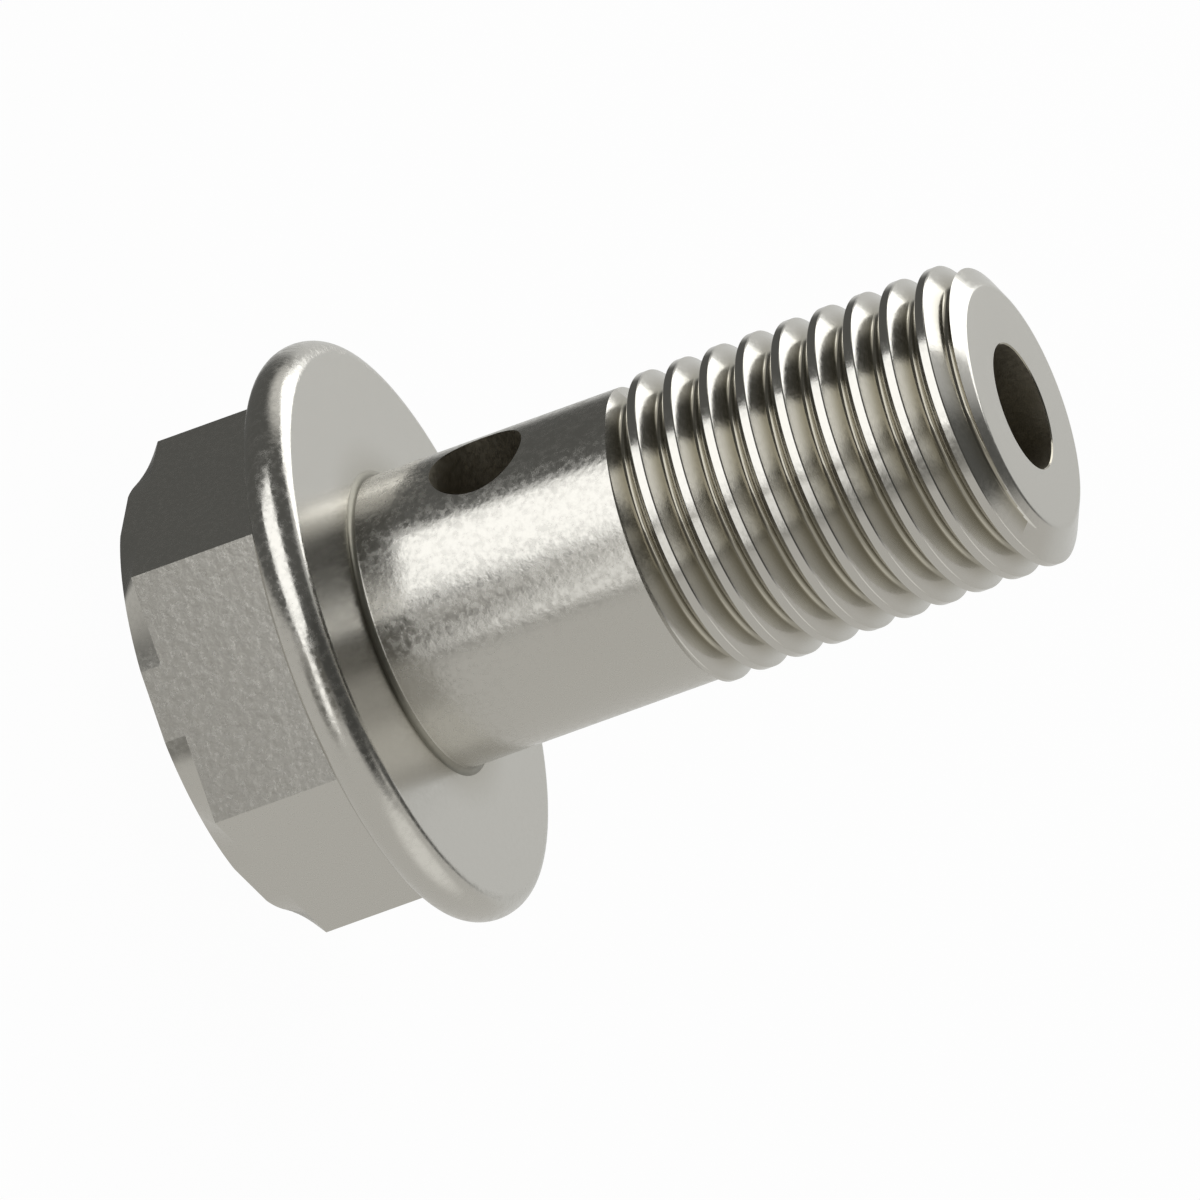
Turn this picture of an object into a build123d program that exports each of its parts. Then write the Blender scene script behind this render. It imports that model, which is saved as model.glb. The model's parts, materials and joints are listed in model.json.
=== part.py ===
"""Banjo bolt: a flanged hexagon bolt with an oilway up its axis and a hole across its shank.

It is turned from one bar, so it is one solid. The origin is the centre of the head's end face
and +Z runs along the axis to the tip, so the bolt stands on its head. The cross hole runs along
Y, square to two flats of the hexagon. The threaded length is the plain cylinder that the screw
thread is cut into. Lengths are in millimetres and angles in degrees.
"""

from build123d import *

import math
import os

# Hexagon, and the round boss that is turned on its end
across_flats = 14.0
hex_length = 4.55
boss_diameter = 14.2
boss_height = 0.7

# Flange, with both edges of its rim rounded
flange_diameter = 19.0
flange_thickness = 1.6
rim_edge_radius = 0.6

# Plain shank, and the fillet that joins it to the flange's bearing face
shank_diameter = 9.6
shank_length = 8.85
neck_fillet_radius = 0.4

# Threaded length and the tip
thread_diameter = 10.0
shoulder_angle = 45.0
under_head_length = 21.0
tip_face_diameter = 8.0
tip_chamfer_angle = 30.0

# Oilways
oil_bore_diameter = 4.1
oil_bore_depth = 18.6
drill_point_angle = 118.0
cross_hole_diameter = 3.2
cross_hole_height = 4.27

# How far a cutting shape stands past the surface that it cuts
cutter_clearance = 0.1

# Radii and heights that follow from the sizes above
boss_radius = boss_diameter / 2
flange_radius = flange_diameter / 2
shank_radius = shank_diameter / 2
thread_radius = thread_diameter / 2
tip_face_radius = tip_face_diameter / 2
oil_bore_radius = oil_bore_diameter / 2
corner_radius = across_flats / 2 / math.cos(math.pi / 6)
flange_back_z = boss_height + hex_length
bearing_z = flange_back_z + flange_thickness
shoulder_z = bearing_z + shank_length
tip_z = bearing_z + under_head_length


def turned(outline):
    """Solid that a closed outline, drawn as radius and height, sweeps about the bolt's axis."""
    return revolve(make_face(Plane.XZ * outline), Axis.Z)


def hexagon_head():
    """Hexagon whose end is turned down to a round boss, with a cove that runs out at each corner."""
    outside = corner_radius + cutter_clearance
    corner = (corner_radius, boss_height)
    cove = TangentArc(corner, (boss_radius, 0), tangent=(-1, 0))
    end_edge = Line((boss_radius, 0), (0, 0))
    sides = Polyline((0, 0), (0, flange_back_z), (outside, flange_back_z), (outside, boss_height), corner)
    hexagon = RegularPolygon(across_flats / 2, side_count=6, major_radius=False)
    prism = extrude(hexagon, amount=flange_back_z)
    return prism & turned(cove + end_edge + sides)


def flange_and_shank():
    """Flange, neck fillet, plain shank, shoulder, threaded length and chamfered tip."""
    rim_r = flange_radius - rim_edge_radius
    back_edge_z = flange_back_z + rim_edge_radius
    front_edge_z = bearing_z - rim_edge_radius
    neck_r = shank_radius + neck_fillet_radius
    shoulder_rise = (thread_radius - shank_radius) / math.tan(math.radians(shoulder_angle))
    chamfer_drop = (thread_radius - tip_face_radius) * math.tan(math.radians(tip_chamfer_angle))
    back = Line((0, flange_back_z), (rim_r, flange_back_z))
    back_edge = CenterArc((rim_r, back_edge_z), rim_edge_radius, -90, 90)
    rim = Line((flange_radius, back_edge_z), (flange_radius, front_edge_z))
    front_edge = CenterArc((rim_r, front_edge_z), rim_edge_radius, 0, 90)
    bearing_face = Line((rim_r, bearing_z), (neck_r, bearing_z))
    neck = CenterArc((neck_r, bearing_z + neck_fillet_radius), neck_fillet_radius, 270, -90)
    shank_edge = Polyline(
        (shank_radius, bearing_z + neck_fillet_radius),
        (shank_radius, shoulder_z),
        (thread_radius, shoulder_z + shoulder_rise),
        (thread_radius, tip_z - chamfer_drop),
        (tip_face_radius, tip_z),
        (0, tip_z),
        (0, flange_back_z),
    )
    flange_edge = back + back_edge + rim + front_edge + bearing_face
    return turned(flange_edge + neck + shank_edge)


def oil_bore():
    """Blind oilway drilled down the axis from the tip, with the drill's point at its end."""
    mouth_z = tip_z + cutter_clearance
    end_z = tip_z - oil_bore_depth
    point_depth = oil_bore_radius / math.tan(math.radians(drill_point_angle / 2))
    outline = Polyline(
        (0, mouth_z),
        (oil_bore_radius, mouth_z),
        (oil_bore_radius, end_z),
        (0, end_z - point_depth),
        close=True,
    )
    return turned(outline)


def cross_hole():
    """Hole drilled right across the shank, through both walls and the oilway between them."""
    length = shank_diameter + 2 * cutter_clearance
    hole = Rot(90, 0, 0) * Cylinder(cross_hole_diameter / 2, length)
    return Pos(0, 0, bearing_z + cross_hole_height) * hole


def banjo_bolt():
    """The whole bolt, turned and drilled."""
    return hexagon_head() + flange_and_shank() - oil_bore() - cross_hole()


os.makedirs("parts", exist_ok=True)
export_step(banjo_bolt(), "parts/banjo_bolt.step")
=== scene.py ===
"""Banjo bolt in satin plated steel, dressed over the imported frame.

The bolt stands on its head at the origin with +Z towards its tip, as in the frame. Pieces are drawn
in millimetres, as on a workshop drawing, and the finished one is brought to metres in its own mesh.
Angles are in degrees.
"""

import json
import logging
import math
from dataclasses import dataclass, field
from enum import Enum
from typing import Any

import bpy
from mathutils import Matrix, Quaternion, Vector

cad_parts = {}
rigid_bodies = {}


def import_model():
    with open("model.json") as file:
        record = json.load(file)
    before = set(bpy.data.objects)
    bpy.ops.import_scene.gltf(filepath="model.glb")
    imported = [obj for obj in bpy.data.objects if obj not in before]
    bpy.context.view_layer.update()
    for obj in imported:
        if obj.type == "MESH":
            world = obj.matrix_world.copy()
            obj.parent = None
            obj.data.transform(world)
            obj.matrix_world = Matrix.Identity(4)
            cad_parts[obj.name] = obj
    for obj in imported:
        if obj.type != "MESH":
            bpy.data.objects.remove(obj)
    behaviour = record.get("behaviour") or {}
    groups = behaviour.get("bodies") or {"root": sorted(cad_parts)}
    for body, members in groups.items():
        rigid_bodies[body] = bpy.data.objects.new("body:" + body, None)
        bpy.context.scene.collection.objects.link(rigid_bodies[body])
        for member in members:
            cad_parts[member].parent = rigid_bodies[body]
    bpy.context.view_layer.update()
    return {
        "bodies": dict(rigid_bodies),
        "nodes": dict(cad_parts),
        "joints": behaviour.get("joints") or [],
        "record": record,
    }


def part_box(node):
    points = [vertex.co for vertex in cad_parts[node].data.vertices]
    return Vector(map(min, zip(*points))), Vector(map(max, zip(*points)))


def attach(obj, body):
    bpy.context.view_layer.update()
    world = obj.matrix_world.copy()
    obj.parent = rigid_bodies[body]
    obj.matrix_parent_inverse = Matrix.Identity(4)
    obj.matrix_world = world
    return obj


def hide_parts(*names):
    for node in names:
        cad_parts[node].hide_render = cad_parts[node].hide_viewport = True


log = logging.getLogger("banjo_bolt")

MM_PER_METRE = 1000.0
FULL_TURN = 360.0

# Edges round a turned piece, and the steepest crease that is still shaded as one smooth surface
ROUND_STEPS = 192
SMOOTH_ANGLE = 28.0

# How far a cutting shape stands past what it cuts, and how near two points are merged
CLEARANCE = 0.1
MERGE_DISTANCE = 0.0001

# How near a face's centre has to be to belong to a drilled wall or the bearing face, to the tip's
# chamfer, and to the shank or a flat of the hexagon
WALL_TOLERANCE = 0.1
EDGE_TOLERANCE = 0.05
SURFACE_TOLERANCE = 0.01

# Least share of a level face's normal that is upright, of an outer face's that is outward, and of a
# sloping face's that is upright
LEVEL_SHARE = 0.999
OUTER_SHARE = 0.5
SLOPING_SHARE = 0.01

Point = tuple[float, float]
Colour = tuple[float, float, float]

WHITE: Colour = (1.0, 1.0, 1.0)


def deselect_all() -> None:
    """Leave edit mode and deselect every object."""
    if bpy.context.object and bpy.context.object.mode == "EDIT":
        bpy.ops.object.mode_set(mode="OBJECT")
    bpy.ops.object.select_all(action="DESELECT")


def make_active(piece: bpy.types.Object) -> None:
    """Select one object alone and make it the active one.

    Args:
        piece: The object that the next operators act on.
    """
    deselect_all()
    piece.select_set(True)
    bpy.context.view_layer.objects.active = piece


class Outline:
    """Half section of a turned piece, drawn point by point as radius and height."""

    def __init__(self, radius: float, height: float) -> None:
        """Start the outline at a first point."""
        self.points: list[Point] = [(radius, height)]

    def line(self, radius: float, height: float) -> "Outline":
        """Draw a straight edge to a point."""
        self.points.append((radius, height))
        return self

    def arc(self, centre: Point, reach: Point, start: float, sweep: float, steps: int) -> "Outline":
        """Draw a round or oval edge.

        Args:
            centre: The arc's centre, as radius and height.
            reach: Half of the oval's extent in radius and in height.
            start: Angle of its first point, from the radius direction towards the height's.
            sweep: Angle that it turns through, negative for clockwise.
            steps: Number of straight edges that it is made of.

        Returns:
            The outline itself.
        """
        for step in range(steps + 1):
            angle = math.radians(start + sweep * step / steps)
            point = (centre[0] + reach[0] * math.cos(angle), centre[1] + reach[1] * math.sin(angle))
            if math.dist(point, self.points[-1]) > MERGE_DISTANCE:
                self.points.append(point)
        return self

    def draw(self) -> None:
        """Draw the edges in the XZ plane of a new mesh, and leave them selected in edit mode."""
        deselect_all()
        bpy.ops.mesh.primitive_plane_add(size=1)
        bpy.ops.object.mode_set(mode="EDIT")
        bpy.ops.mesh.select_all(action="SELECT")
        bpy.ops.mesh.merge(type="CENTER")
        radius, height = self.points[0]
        bpy.ops.transform.translate(value=(radius, 0, height))
        for (radius, height), (next_radius, next_height) in zip(self.points, self.points[1:]):
            step = (next_radius - radius, 0, next_height - height)
            bpy.ops.mesh.extrude_region_move(TRANSFORM_OT_translate={"value": step})
        bpy.ops.mesh.select_all(action="SELECT")


def turn(name: str, outline: Outline) -> bpy.types.Object:
    """Turn an outline about the bolt's axis into a closed solid.

    Args:
        name: Name of the new object.
        outline: Half section that starts and ends on the axis.

    Returns:
        The turned object.
    """
    outline.draw()
    bpy.ops.mesh.spin(steps=ROUND_STEPS, angle=math.tau, center=(0, 0, 0), axis=(0, 0, 1))
    bpy.ops.mesh.select_all(action="SELECT")
    bpy.ops.mesh.remove_doubles(threshold=MERGE_DISTANCE)
    bpy.ops.mesh.normals_make_consistent(inside=False)
    bpy.ops.object.mode_set(mode="OBJECT")
    piece = bpy.context.object
    piece.name = name
    return piece


class Cut(Enum):
    """How one solid changes another."""

    JOIN = "UNION"
    REMOVE = "DIFFERENCE"


def combine(piece: bpy.types.Object, tool: bpy.types.Object, cut: Cut) -> None:
    """Change a solid by another one, which is used up.

    Args:
        piece: The solid that is kept.
        tool: The solid that changes it.
        cut: What the tool does.
    """
    make_active(piece)
    modifier = piece.modifiers.new(cut.name.lower(), "BOOLEAN")
    modifier.operation = cut.value
    modifier.object = tool
    modifier.solver = "MANIFOLD"
    bpy.ops.object.modifier_apply(modifier=modifier.name)
    bpy.data.objects.remove(tool, do_unlink=True)


@dataclass(frozen=True)
class HexagonHead:
    """Hexagon whose corners are relieved down to a round end."""

    flange_back: float
    across_flats: float = 14.0
    end_radius: float = 7.1
    relief_height: float = 0.7
    embed: float = 0.6

    def side_radius(self, angle: float) -> float:
        """Distance from the axis to the hexagon's side.

        Args:
            angle: Direction from the axis, in radians from a corner.

        Returns:
            The distance, which is shortest in the middle of a flat.
        """
        from_flat = angle % (math.pi / 3) - math.pi / 6
        return self.across_flats / 2 / math.cos(from_flat)

    def build(self) -> bpy.types.Object:
        """Model the head, which reaches a little way into the flange that it carries.

        Returns:
            The head: a turned blank whose sides are brought in to the hexagon's flats.
        """
        corner_radius = self.side_radius(0)
        top = self.flange_back + self.embed
        outline = Outline(0, 0).line(self.end_radius, 0).line(corner_radius, self.relief_height)
        head = turn("hexagon_head", outline.line(corner_radius, top).line(0, top))
        for vertex in head.data.vertices:
            radius = math.hypot(vertex.co.x, vertex.co.y)
            side = self.side_radius(math.atan2(vertex.co.y, vertex.co.x))
            if radius > side:
                vertex.co.x *= side / radius
                vertex.co.y *= side / radius
        return head


@dataclass(frozen=True)
class FlangedShank:
    """Flange, neck fillet, plain shank, shoulder and the bar that the thread is cut into."""

    flange_radius: float
    flange_back: float
    bearing: float
    shank_radius: float
    thread_radius: float
    tip: float
    shank_length: float = 8.85
    rim_bulge: float = 0.6
    neck_radius: float = 0.22
    tip_face_radius: float = 4.0
    tip_chamfer: float = 30.0
    tip_edge_radius: float = 0.35
    rim_steps: int = 40
    neck_steps: int = 6

    @property
    def shoulder(self) -> float:
        """Height of the shank's end, where the thread's diameter begins."""
        return self.bearing + self.shank_length

    def build(self) -> bpy.types.Object:
        """Turn the flange, the shank and the bar from one outline.

        Returns:
            The turned bar, which becomes the bolt.
        """
        rim = self.flange_radius - self.rim_bulge
        rim_height = (self.bearing - self.flange_back) / 2
        rim_centre = (rim, self.flange_back + rim_height)
        neck = self.shank_radius + self.neck_radius
        shoulder_rise = self.thread_radius - self.shank_radius
        chamfer_width = self.thread_radius - self.tip_face_radius
        chamfer_drop = chamfer_width * math.tan(math.radians(self.tip_chamfer))
        outline = Outline(0, self.flange_back).line(rim, self.flange_back)
        outline.arc(rim_centre, (self.rim_bulge, rim_height), -90, 180, self.rim_steps)
        neck_centre = (neck, self.bearing + self.neck_radius)
        outline.arc(neck_centre, (self.neck_radius, self.neck_radius), 270, -90, self.neck_steps)
        outline.line(self.shank_radius, self.shoulder)
        outline.line(self.thread_radius, self.shoulder + shoulder_rise)
        outline.line(self.thread_radius, self.tip - chamfer_drop)
        chamfer_normal = 90 - self.tip_chamfer
        edge_radius = self.tip_edge_radius
        setback = edge_radius * math.tan(math.radians(self.tip_chamfer) / 2)
        edge_centre = (self.tip_face_radius - setback, self.tip - edge_radius)
        edge_reach = (edge_radius, edge_radius)
        outline.arc(edge_centre, edge_reach, chamfer_normal, self.tip_chamfer, self.neck_steps)
        outline.line(0, self.tip)
        return turn("banjo_bolt_steel", outline)


@dataclass(frozen=True)
class ScrewThread:
    """Groove of the right-hand thread, with round roots, broken crest edges and a run-out.

    It first has its full depth at full_depth_angle round the axis, full_depth_offset above the
    shoulder, and grows to it over run_out_turns before that.
    """

    radius: float
    shoulder: float
    tip: float
    pitch: float = 1.25
    flank_angle: float = 30.0
    crest_width: float = 0.3
    root_radius: float = 0.15
    crest_break: float = 0.08
    run_out_turns: float = 0.5
    full_depth_angle: float = 232.7
    full_depth_offset: float = 0.22
    steps_per_turn: int = 180
    root_steps: int = 8
    break_steps: int = 3

    def half_section(self) -> list[Point]:
        """Flank side of the groove's section, from its mouth to the middle of its root.

        Returns:
            Points as radius and distance along the axis from the groove's middle.
        """
        flank = math.radians(self.flank_angle)
        round_turn = math.pi / 2 - flank
        mouth = (self.pitch - self.crest_width) / 2
        break_radius = self.radius - self.crest_break
        break_offset = mouth + self.crest_break * math.tan(round_turn / 2)
        points = [(self.radius + CLEARANCE, break_offset)]
        for step in range(1, self.break_steps + 1):
            angle = round_turn * step / self.break_steps
            offset = break_offset - self.crest_break * math.sin(angle)
            points.append((break_radius + self.crest_break * math.cos(angle), offset))
        vee_depth = mouth / math.tan(flank)
        root_centre = self.radius - vee_depth + self.root_radius / math.sin(flank)
        for step in range(self.root_steps // 2 + 1):
            angle = round_turn * (1 - 2 * step / self.root_steps)
            root = root_centre - self.root_radius * math.cos(angle)
            points.append((root, self.root_radius * math.sin(angle)))
        return points

    def section(self) -> Outline:
        """Whole section of the groove.

        Returns:
            The section, as a chain of edges that a last one closes.
        """
        half = self.half_section()
        mirrored = [(radius, -offset) for radius, offset in reversed(half[:-1])]
        outline = Outline(*half[0])
        for radius, offset in half[1:] + mirrored:
            outline.line(radius, offset)
        return outline

    def build(self) -> bpy.types.Object:
        """Sweep the groove's section up a helix, as the solid that is cut away.

        Returns:
            The cutter, which starts at nothing and leaves through the bar's tip.
        """
        section = self.section()
        section.draw()
        bpy.ops.mesh.edge_face_add()
        bpy.ops.object.mode_set(mode="OBJECT")
        cutter = bpy.context.object
        cutter.name = "thread_groove"
        start_height = self.shoulder + self.full_depth_offset - self.run_out_turns * self.pitch
        turns = (self.tip + self.pitch - start_height) / self.pitch
        sweep = cutter.modifiers.new("sweep", "SCREW")
        sweep.axis = "Z"
        sweep.angle = math.tau * turns
        sweep.screw_offset = self.pitch * turns
        sweep.steps = sweep.render_steps = round(turns * self.steps_per_turn)
        make_active(cutter)
        bpy.ops.object.modifier_apply(modifier=sweep.name)
        self.shape_run_out(cutter, len(section.points))
        bpy.ops.object.mode_set(mode="EDIT")
        bpy.ops.mesh.select_all(action="SELECT")
        bpy.ops.mesh.fill_holes(sides=0)
        bpy.ops.mesh.select_all(action="SELECT")
        bpy.ops.mesh.normals_make_consistent(inside=False)
        bpy.ops.object.mode_set(mode="OBJECT")
        start_angle = self.full_depth_angle - FULL_TURN * self.run_out_turns
        cutter.rotation_euler.z = math.radians(start_angle)
        cutter.location.z = start_height
        bpy.ops.object.transform_apply(location=True, rotation=True, scale=True)
        return cutter

    def shape_run_out(self, cutter: bpy.types.Object, section_size: int) -> None:
        """Shrink the first rings of the swept groove towards its mouth, so that it starts at nothing.

        Args:
            cutter: The swept groove, whose vertices go ring by ring.
            section_size: Number of points in each ring.
        """
        rings = round(self.run_out_turns * self.steps_per_turn)
        mouth_radius = self.radius + CLEARANCE
        # The first ring keeps a trace of its size, so that the cutter has no end of no area
        smallest = CLEARANCE / mouth_radius
        for ring in range(rings):
            angle = math.tau * ring / self.steps_per_turn
            middle = Vector((
                mouth_radius * math.cos(angle),
                mouth_radius * math.sin(angle),
                self.pitch * ring / self.steps_per_turn,
            ))
            scale = max(ring / rings, smallest)
            for vertex in cutter.data.vertices[ring * section_size:(ring + 1) * section_size]:
                vertex.co = middle + (vertex.co - middle) * scale


@dataclass(frozen=True)
class Oilways:
    """Blind oilway up the axis from the tip, and the hole across the shank."""

    bore_radius: float
    bore_depth: float
    tip: float
    cross_radius: float
    cross_length: float
    cross_height: float
    drill_point: float = 118.0
    mouth_break: float = 0.04
    cross_steps: int = 96

    def bore(self) -> bpy.types.Object:
        """Turn the shape of the drilled oilway, with the drill's point at its end.

        Returns:
            The solid that is cut away.
        """
        end = self.tip - self.bore_depth
        point = self.bore_radius / math.tan(math.radians(self.drill_point / 2))
        mouth = self.bore_radius + self.mouth_break + CLEARANCE
        outline = Outline(0, end - point).line(self.bore_radius, end)
        outline.line(self.bore_radius, self.tip - self.mouth_break)
        outline.line(mouth, self.tip + CLEARANCE).line(0, self.tip + CLEARANCE)
        return turn("oil_bore", outline)

    def cross_hole(self) -> bpy.types.Object:
        """Model the shape of the hole that goes right across the shank, along Y.

        Returns:
            The solid that is cut away.
        """
        deselect_all()
        bpy.ops.mesh.primitive_cylinder_add(
            vertices=self.cross_steps,
            radius=self.cross_radius,
            depth=self.cross_length + 2 * CLEARANCE,
            location=(0, 0, self.cross_height),
            rotation=(math.pi / 2, 0, 0),
        )
        bpy.ops.object.transform_apply(location=True, rotation=True, scale=True)
        return bpy.context.object


# How strongly each finer layer of a noise pattern counts beside the one before
NOISE_ROUGHNESS = 0.6


class Socket:
    """One output socket of a shader's node tree, with arithmetic that adds Math nodes."""

    def __init__(self, nodes: "Nodes", socket: bpy.types.NodeSocket) -> None:
        """Wrap an output socket."""
        self.nodes = nodes
        self.socket = socket

    def maths(self, operation: str, *operands: Any) -> "Socket":
        """Add a Math node on these operands."""
        return self.nodes.add("ShaderNodeMath", {"operation": operation}, dict(enumerate(operands)))

    def __add__(self, other: "Operand") -> "Socket":
        """Sum."""
        return self.maths("ADD", self, other)

    def __radd__(self, other: float) -> "Socket":
        """Sum with a number first."""
        return self.maths("ADD", other, self)

    def __mul__(self, other: "Operand") -> "Socket":
        """Product."""
        return self.maths("MULTIPLY", self, other)

    def __rmul__(self, other: float) -> "Socket":
        """Product with a number first."""
        return self.maths("MULTIPLY", other, self)

    def dot(self, direction: Vector) -> "Socket":
        """Length of a vector along a fixed direction."""
        inputs = {0: self, 1: tuple(direction)}
        return self.nodes.add("ShaderNodeVectorMath", {"operation": "DOT_PRODUCT"}, inputs, "Value")

    def smooth_step(self, low: float, high: float) -> "Socket":
        """Turn a value into a smooth rise.

        Args:
            low: Value at which the rise starts from 0.
            high: Value at which it ends at 1.

        Returns:
            The risen value.
        """
        settings = {"interpolation_type": "SMOOTHSTEP"}
        inputs = {"Value": self, "From Min": low, "From Max": high}
        return self.nodes.add("ShaderNodeMapRange", settings, inputs)


Operand = Socket | float


class Nodes:
    """Node tree of a material or the world, built by one method."""

    def __init__(self, tree: bpy.types.NodeTree) -> None:
        """Start with an empty tree."""
        self.tree = tree
        tree.nodes.clear()

    def add(
        self,
        node_type: str,
        settings: dict[str, Any] | None = None,
        inputs: dict[Any, Any] | None = None,
        output: Any = 0,
    ) -> Socket:
        """Add a node.

        Args:
            node_type: Blender's name of the node's type.
            settings: Properties that are set first.
            inputs: Values or links of its sockets, by name or number.
            output: Name or number of the output that is returned.

        Returns:
            That output, wrapped.
        """
        node = self.tree.nodes.new(node_type)
        for key, value in (settings or {}).items():
            setattr(node, key, value)
        for key, value in (inputs or {}).items():
            if isinstance(value, Socket):
                self.tree.links.new(value.socket, node.inputs[key])
            else:
                node.inputs[key].default_value = value
        return Socket(self, node.outputs[output] if node.outputs else None)

    def mix(self, factor: Operand, first: Any, second: Any) -> Socket:
        """Mix two colours by a factor."""
        inputs = {0: factor, 6: first, 7: second}
        return self.add("ShaderNodeMix", {"data_type": "RGBA"}, inputs, 2)

    def noise(self, position: Socket, size: float, detail: float) -> Socket:
        """Add a cloudy pattern of 0 to 1.

        Args:
            position: Where the pattern is read.
            size: Length of one cloud, in millimetres.
            detail: How many times finer clouds are added to it.

        Returns:
            The pattern's value.
        """
        scale = MM_PER_METRE / size
        inputs = {"Vector": position, "Scale": scale, "Detail": detail, "Roughness": NOISE_ROUGHNESS}
        return self.add("ShaderNodeTexNoise", {"noise_dimensions": "3D"}, inputs)


def rgba(colour: Colour) -> tuple[float, float, float, float]:
    """Colour with full alpha."""
    return (*colour, 1.0)


@dataclass(frozen=True)
class SteelFinish:
    """Satin plating on steel: its tone, a painted shade that darkens it towards the axis, and an
    uneven, grainy shine.

    The painted shade stands in for shade in recesses. It is full at nearest and gone at farthest, two
    distances from the axis. The mottle varies the roughness in patches, and the grain is a fine relief.
    Their sizes are in millimetres.
    """

    name: str
    colour: Colour = (0.58, 0.568, 0.53)
    # Colour of the painted shade that is laid in towards the axis, or None for none
    painted_shade: Colour | None = None
    nearest: float = 0.0
    farthest: float = 1.0
    smoothest: float = 0.2
    roughest: float = 0.32
    mottle_size: float = 0.17
    mottle_detail: float = 4.0
    mottle_low: float = 0.36
    mottle_high: float = 0.66
    grain_size: float = 0.2
    grain_height: float = 0.004
    grain_detail: float = 4.0

    def base_colour(self, nodes: Nodes, position: Socket) -> Any:
        """Colour of the plating, with its painted shade where there is one.

        Args:
            nodes: The material's node tree.
            position: Where the surface is, in the bolt's own coordinates.

        Returns:
            The plain colour, or where there is a painted shade, the link that shades into it.
        """
        if self.painted_shade is None:
            return rgba(self.colour)
        # Painted shade: the colour darkens into the shade colour nearer the axis, as in a recess
        level = {0: position, 1: (1.0, 1.0, 0.0)}
        from_axis = nodes.add("ShaderNodeVectorMath", {"operation": "MULTIPLY"}, level)
        radius = nodes.add("ShaderNodeVectorMath", {"operation": "LENGTH"}, {0: from_axis}, "Value")
        outside = radius.smooth_step(self.nearest / MM_PER_METRE, self.farthest / MM_PER_METRE)
        return nodes.mix(outside, rgba(self.painted_shade), rgba(self.colour))

    def material(self) -> bpy.types.Material:
        """Build the finish as a material.

        Returns:
            The material, which reads the bolt's own coordinates.
        """
        material = bpy.data.materials.new(self.name)
        material.use_nodes = True
        nodes = Nodes(material.node_tree)
        position = nodes.add("ShaderNodeTexCoord", output="Object")
        patches = nodes.noise(position, self.mottle_size, self.mottle_detail)
        mottle = patches.smooth_step(self.mottle_low, self.mottle_high)
        grain = nodes.noise(position, self.grain_size, self.grain_detail)
        bump = {"Strength": 1.0, "Distance": self.grain_height / MM_PER_METRE, "Height": grain}
        inputs = {
            "Base Color": self.base_colour(nodes, position),
            "Metallic": 1.0,
            "Roughness": self.smoothest + (self.roughest - self.smoothest) * mottle,
            "Normal": nodes.add("ShaderNodeBump", None, bump),
        }
        surface = nodes.add("ShaderNodeBsdfPrincipled", None, inputs)
        nodes.add("ShaderNodeOutputMaterial", None, {"Surface": surface})
        return material


# Painted shade: olive, laid into the thread's grooves and onto the bearing face by the neck
PAINTED_SHADE_OLIVE: Colour = (0.38, 0.36, 0.30)
# Painted shade: dull brown for the neck fillet, in the crease against the bearing face
PAINTED_NECK_SHADE: Colour = (0.26, 0.25, 0.21)
# Darker and browner colour for the walls of the oilway and the cross hole
DRILLED_BROWN: Colour = (0.42, 0.39, 0.32)


class Zone(Enum):
    """Parts of the bolt's surface that were finished in their own way, some with painted shade."""

    HEXAGON = SteelFinish(
        "hexagon_plating",
        smoothest=0.19,
        roughest=0.28,
        grain_size=0.35,
        grain_height=0.012,
        grain_detail=2.0,
    )
    RELIEF = SteelFinish("relief_plating", roughest=0.28, grain_height=0.0005)
    RIM = SteelFinish(
        "rim_plating",
        smoothest=0.14,
        roughest=0.3,
        mottle_size=0.22,
        grain_size=0.25,
        grain_detail=2.0,
    )
    FACE = SteelFinish("face_plating", roughest=0.24, grain_height=0.0003)
    # Bearing face, plated, with painted shade: darker and more olive towards the neck
    BEARING = SteelFinish(
        "bearing_plating",
        painted_shade=PAINTED_SHADE_OLIVE,
        nearest=3.8,
        farthest=6.4,
        roughest=0.26,
        grain_height=0.0005,
    )
    # Neck fillet: painted shade, dark brown and rough, where the shank meets the bearing face
    NECK = SteelFinish("neck_plating", PAINTED_NECK_SHADE, smoothest=0.36, roughest=0.42)
    SHANK = SteelFinish(
        "shank_plating",
        smoothest=0.16,
        roughest=0.3,
        mottle_size=0.22,
        grain_size=0.25,
        grain_height=0.005,
        grain_detail=2.0,
    )
    TIP = SteelFinish("tip_plating", smoothest=0.15, roughest=0.22, grain_height=0.001)
    # Thread, plated, with painted shade: darker and more olive towards the roots of the grooves
    THREAD = SteelFinish(
        "thread_plating",
        painted_shade=PAINTED_SHADE_OLIVE,
        nearest=4.3,
        farthest=4.9,
        smoothest=0.13,
        roughest=0.2,
        grain_height=0.002,
    )
    DRILLED = SteelFinish("drilled_steel", DRILLED_BROWN, smoothest=0.4, roughest=0.5)


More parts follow.
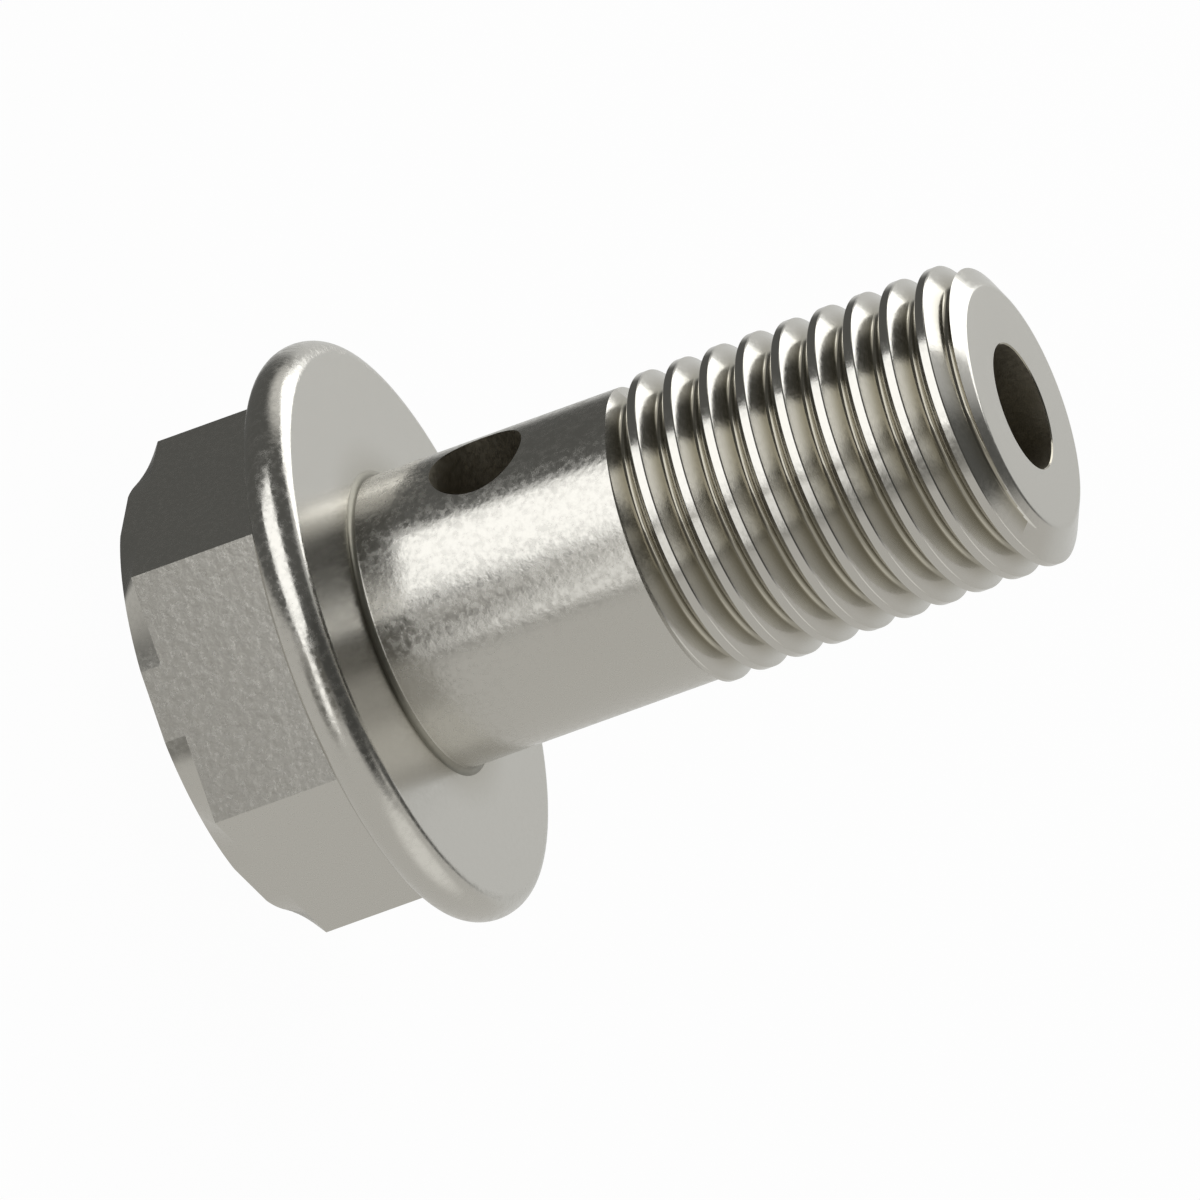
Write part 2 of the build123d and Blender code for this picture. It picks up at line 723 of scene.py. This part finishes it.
@dataclass
class BanjoBolt:
    """The whole bolt as one solid, with its zones of finish."""

    frame: dict[str, Any]
    flange_thickness: float = 1.6
    head: HexagonHead = field(init=False)
    bar: FlangedShank = field(init=False)
    thread: ScrewThread = field(init=False)
    oilways: Oilways = field(init=False)

    def mount(self, name: str) -> dict[str, Any]:
        """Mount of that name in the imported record."""
        return next(m for m in self.frame["record"]["mounts"] if m["name"] == name)

    def __post_init__(self) -> None:
        """Work out the parts' sizes from the frame and the record's mounts."""
        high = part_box("banjo_bolt")[1]
        tip = high.z * MM_PER_METRE
        bearing = self.mount("bearing_face")["pos_m"][2] * MM_PER_METRE
        flange_back = bearing - self.flange_thickness
        thread_radius = self.mount("thread")["dims"]["r_mm"]
        bore = self.mount("oil_bore")["dims"]
        cross_port = self.mount("cross_port")
        self.head = HexagonHead(flange_back)
        self.bar = FlangedShank(
            flange_radius=round(high.x * MM_PER_METRE, 2),
            flange_back=flange_back,
            bearing=bearing,
            shank_radius=self.mount("banjo_seat")["dims"]["r_mm"],
            thread_radius=thread_radius,
            tip=tip,
        )
        self.thread = ScrewThread(thread_radius, self.bar.shoulder, tip)
        self.oilways = Oilways(
            bore_radius=bore["r_mm"],
            bore_depth=bore["length_mm"],
            tip=tip,
            cross_radius=cross_port["dims"]["r_mm"],
            cross_length=cross_port["dims"]["length_mm"],
            cross_height=cross_port["pos_m"][2] * MM_PER_METRE,
        )

    def build(self) -> bpy.types.Object:
        """Model the bolt: turned, joined to its head, threaded and drilled.

        Returns:
            The finished bolt.
        """
        bolt = self.bar.build()
        combine(bolt, self.head.build(), Cut.JOIN)
        combine(bolt, self.thread.build(), Cut.REMOVE)
        combine(bolt, self.oilways.bore(), Cut.REMOVE)
        combine(bolt, self.oilways.cross_hole(), Cut.REMOVE)
        self.finish_mesh(bolt)
        log.info("bolt: %d faces", len(bolt.data.polygons))
        return bolt

    def finish_mesh(self, bolt: bpy.types.Object) -> None:
        """Bring the solid to metres in its own mesh, then finish and shade its faces.

        Args:
            bolt: The solid, still in millimetres.
        """
        make_active(bolt)
        bolt.scale = (1 / MM_PER_METRE, 1 / MM_PER_METRE, 1 / MM_PER_METRE)
        bpy.ops.object.transform_apply(location=True, rotation=True, scale=True)
        self.dress(bolt)
        bpy.ops.object.shade_smooth_by_angle(angle=math.radians(SMOOTH_ANGLE))
        self.sharpen(bolt)
        weighted = bolt.modifiers.new("flat_faces_first", "WEIGHTED_NORMAL")
        weighted.keep_sharp = True
        bpy.ops.object.modifier_apply(modifier=weighted.name)

    def is_drilled(self, centre: Vector, normal: Vector) -> bool:
        """Tell whether a face is a wall of the oilway or of the cross hole.

        Args:
            centre: The face's centre, in millimetres.
            normal: The face's outward normal.

        Returns:
            True for a drilled wall.
        """
        radius = math.hypot(centre.x, centre.y)
        inside = WALL_TOLERANCE < centre.z < self.bar.tip - WALL_TOLERANCE
        if inside and radius < self.oilways.bore_radius + WALL_TOLERANCE:
            return True
        from_cross_axis = math.hypot(centre.x, centre.z - self.oilways.cross_height)
        outward = normal.x * centre.x + normal.y * centre.y
        in_cross_hole = from_cross_axis < self.oilways.cross_radius + WALL_TOLERANCE
        return in_cross_hole and outward < OUTER_SHARE * radius

    def zone_of(self, centre: Vector, normal: Vector) -> Zone:
        """Zone of finish that a face belongs to.

        Args:
            centre: The face's centre, in millimetres.
            normal: The face's outward normal.

        Returns:
            The zone.
        """
        if self.is_drilled(centre, normal):
            return Zone.DRILLED
        if abs(normal.z) > LEVEL_SHARE:
            return Zone.BEARING if abs(centre.z - self.bar.bearing) < WALL_TOLERANCE else Zone.FACE
        radius = math.hypot(centre.x, centre.y)
        chamfer_slope = math.tan(math.radians(self.bar.tip_chamfer))
        chamfer_height = self.bar.tip - (radius - self.bar.tip_face_radius) * chamfer_slope
        if centre.z > chamfer_height - EDGE_TOLERANCE:
            return Zone.TIP
        if centre.z > self.bar.shoulder:
            return Zone.THREAD
        if centre.z > self.bar.bearing:
            return Zone.NECK if radius > self.bar.shank_radius + SURFACE_TOLERANCE else Zone.SHANK
        if centre.z > self.bar.flange_back:
            return Zone.RIM
        inside_flat = radius < self.head.side_radius(math.atan2(centre.y, centre.x)) - SURFACE_TOLERANCE
        sloping = abs(normal.z) > SLOPING_SHARE
        if centre.z < self.head.relief_height and (sloping or inside_flat):
            return Zone.RELIEF
        return Zone.HEXAGON

    def sharpen(self, bolt: bpy.types.Object) -> None:
        """Keep the edges crisp where two zones of finish meet.

        Args:
            bolt: The dressed bolt.
        """
        beside: dict[int, set[int]] = {}
        for face in bolt.data.polygons:
            for loop in face.loop_indices:
                beside.setdefault(bolt.data.loops[loop].edge_index, set()).add(face.material_index)
        for number, finishes in beside.items():
            if len(finishes) > 1:
                bolt.data.edges[number].use_edge_sharp = True

    def dress(self, bolt: bpy.types.Object) -> None:
        """Give each face the finish of its zone.

        Args:
            bolt: The bolt, in metres.
        """
        bolt.data.materials.clear()
        slots = {}
        for number, zone in enumerate(Zone):
            bolt.data.materials.append(zone.value.material())
            slots[zone] = number
        for face in bolt.data.polygons:
            face.material_index = slots[self.zone_of(face.center * MM_PER_METRE, face.normal)]


@dataclass(frozen=True)
class Softbox:
    """A soft lamp, by its place and size as the bolt sees it: angles, and its distance in metres."""

    name: str
    bearing: float
    height: float
    width: float
    tallness: float
    brightness: float
    distance: float = 0.6
    twist: float = 0.0


@dataclass(frozen=True)
class Patch:
    """Round tone in the surroundings, by its place as the bolt sees it.

    It is full out to the angle core from its middle, and gone at the angle reach.
    """

    name: str
    bearing: float
    height: float
    core: float
    reach: float
    tone: Colour


@dataclass(frozen=True)
class Studio:
    """Pale floor, soft lamps and the camera at the photograph's viewing angle.

    The bolt's axis climbs by axis_slope in the picture, which is frame_width wide. The surroundings
    are pale below the picture's level and dim above it, with tones that shade into them.
    """

    azimuth: float = 62.7
    elevation: float = 18.0
    axis_slope: float = 19.781
    frame_width: float = 37.325
    aim_height: float = 12.68
    aim_right: float = 1.2255
    camera_distance: float = 200.0
    nearest_seen: float = 1.0
    farthest_seen: float = 10000.0
    floor_size: float = 2000.0
    floor_colour: Colour = (0.8, 0.8, 0.8)
    floor_whiteness: float = 0.97
    ground_tone: Colour = (0.64, 0.63, 0.605)
    room_tone: Colour = (0.12, 0.12, 0.115)
    horizon: tuple[float, float] = (-0.12, 0.02)
    patches: tuple[Patch, ...] = (
        Patch("rear_glow", 158.0, 11.0, 24.0, 38.0, (0.70, 0.70, 0.685)),
        Patch("overhead_glow", 165.0, 66.0, 8.0, 26.0, (0.85, 0.84, 0.81)),
        Patch("ground_glow", 84.0, -50.0, 12.0, 34.0, (0.95, 0.94, 0.91)),
        Patch("side_glow", 92.0, 40.0, 8.0, 22.0, (0.6, 0.6, 0.59)),
        Patch("right_shade", 44.0, 0.0, 20.0, 38.0, (0.08, 0.08, 0.076)),
        Patch("left_shade", -38.0, -25.0, 6.0, 22.0, (0.22, 0.215, 0.20)),
        Patch("front_shade", 4.0, -9.0, 5.0, 17.0, (0.15, 0.145, 0.13)),
    )
    softboxes: tuple[Softbox, ...] = (
        Softbox("front_softbox", -33.0, 29.0, 37.0, 65.0, 1.6, 0.122, 45.0),
        Softbox("low_front_softbox", -9.5, -15.0, 14.0, 27.0, 0.95, 0.048),
        Softbox("rear_softbox", 120.0, 44.0, 40.0, 48.0, 1.9, 0.3),
    )

    @property
    def back(self) -> Vector:
        """Direction from the bolt to the camera.

        Returns:
            The direction, of length 1.
        """
        azimuth = math.radians(self.azimuth)
        elevation = math.radians(self.elevation)
        level = math.cos(elevation)
        return Vector((math.sin(azimuth) * level, -math.cos(azimuth) * level, math.sin(elevation)))

    @property
    def orientation(self) -> Quaternion:
        """Camera's rotation, rolled so that the bolt's axis climbs to the right as photographed."""
        level = (-self.back).to_track_quat("-Z", "Y")
        return level @ Quaternion((0, 0, 1), math.radians(90 - self.axis_slope))

    @property
    def picture_up(self) -> Vector:
        """Direction that points up in the picture."""
        return self.orientation @ Vector((0, 1, 0))

    def camera(self) -> None:
        """Place the camera, which has no perspective."""
        deselect_all()
        azimuth = math.radians(self.azimuth)
        right = Vector((math.cos(azimuth), math.sin(azimuth), 0))
        aim = right * self.aim_right + Vector((0, 0, self.aim_height))
        place = (aim + self.back * self.camera_distance) / MM_PER_METRE
        bpy.ops.object.camera_add(location=place)
        camera = bpy.context.object
        camera.name = "photo_camera"
        camera.rotation_mode = "QUATERNION"
        camera.rotation_quaternion = self.orientation
        camera.data.type = "ORTHO"
        camera.data.ortho_scale = self.frame_width / MM_PER_METRE
        camera.data.clip_start = self.nearest_seen / MM_PER_METRE
        camera.data.clip_end = self.farthest_seen / MM_PER_METRE
        bpy.context.scene.camera = camera

    def in_view(self, bearing: float, height: float) -> Vector:
        """Direction in the bolt's frame of one that is given as the photograph shows it.

        Args:
            bearing: Angle round the photograph's upright, from the viewer towards the right.
            height: Angle above the photograph's level.

        Returns:
            The direction, of length 1.
        """
        turned_by = math.radians(bearing)
        rise = math.radians(height)
        level = math.cos(rise)
        seen = Vector((math.sin(turned_by) * level, math.sin(rise), math.cos(turned_by) * level))
        return self.orientation @ seen

    def lamp(self, softbox: Softbox) -> None:
        """Hang a soft lamp that looks at the bolt and is not seen itself.

        Args:
            softbox: The lamp's place, size and brightness.
        """
        deselect_all()
        direction = self.in_view(softbox.bearing, softbox.height)
        bpy.ops.object.light_add(type="AREA", location=direction * softbox.distance)
        lamp = bpy.context.object
        lamp.name = softbox.name
        lamp.rotation_mode = "QUATERNION"
        side = direction.cross(self.picture_up).normalized()
        upward = side.cross(direction)
        upright = Matrix((-side, upward, direction)).transposed().to_quaternion()
        lamp.rotation_quaternion = Quaternion(direction, math.radians(softbox.twist)) @ upright
        lamp.data.shape = "RECTANGLE"
        lamp.data.size = 2 * softbox.distance * math.tan(math.radians(softbox.width / 2))
        lamp.data.size_y = 2 * softbox.distance * math.tan(math.radians(softbox.tallness / 2))
        lamp.data.energy = softbox.brightness * math.pi * lamp.data.size * lamp.data.size_y
        lamp.visible_camera = False

    def floor(self) -> None:
        """Lay the pale floor that the bolt's head stands on."""
        deselect_all()
        bpy.ops.mesh.primitive_plane_add(size=self.floor_size / MM_PER_METRE)
        floor = bpy.context.object
        floor.name = "studio_floor"
        floor.visible_glossy = False
        floor.visible_shadow = False
        material = bpy.data.materials.new("pale_floor")
        material.use_nodes = True
        nodes = Nodes(material.node_tree)
        matt = nodes.add("ShaderNodeBsdfDiffuse", None, {"Color": rgba(self.floor_colour)})
        white = nodes.add("ShaderNodeEmission", None, {"Color": rgba(WHITE), "Strength": 1.0})
        seen = nodes.add("ShaderNodeLightPath", output="Is Camera Ray")
        whitened = seen * self.floor_whiteness
        surface = nodes.add("ShaderNodeMixShader", None, {0: whitened, 1: matt, 2: white})
        nodes.add("ShaderNodeOutputMaterial", None, {"Surface": surface})
        floor.data.materials.append(material)

    def world(self) -> None:
        """Surround the bolt with what it mirrors, while the camera sees plain white."""
        world = bpy.data.worlds.new("studio_room")
        bpy.context.scene.world = world
        world.use_nodes = True
        nodes = Nodes(world.node_tree)
        outward = nodes.add("ShaderNodeTexCoord", output="Generated")
        above_horizon = outward.dot(self.picture_up).smooth_step(*self.horizon)
        surround = nodes.mix(above_horizon, rgba(self.ground_tone), rgba(self.room_tone))
        for patch in self.patches:
            nearness = outward.dot(self.in_view(patch.bearing, patch.height))
            edge = math.cos(math.radians(patch.reach))
            core = math.cos(math.radians(patch.core))
            surround = nodes.mix(nearness.smooth_step(edge, core), surround, rgba(patch.tone))
            surround.socket.node.label = patch.name
        seen = nodes.add("ShaderNodeLightPath", output="Is Camera Ray")
        colour = nodes.mix(seen, surround, rgba(WHITE))
        light = nodes.add("ShaderNodeBackground", None, {"Color": colour, "Strength": 1.0})
        nodes.add("ShaderNodeOutputWorld", None, {"Surface": light})

    def build(self) -> None:
        """Set up the whole studio."""
        self.camera()
        self.floor()
        self.world()
        for softbox in self.softboxes:
            self.lamp(softbox)
        bpy.context.scene.view_settings.view_transform = "Standard"
        log.info("studio: floor, camera and %d lamps", len(self.softboxes))


def main() -> None:
    """Build the bolt over the frame and light it."""
    logging.basicConfig(level=logging.INFO, format="%(name)s: %(message)s")
    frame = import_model()
    bolt = BanjoBolt(frame).build()
    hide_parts("banjo_bolt")
    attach(bolt, "root")
    Studio().build()


if __name__ == "__main__":
    main()
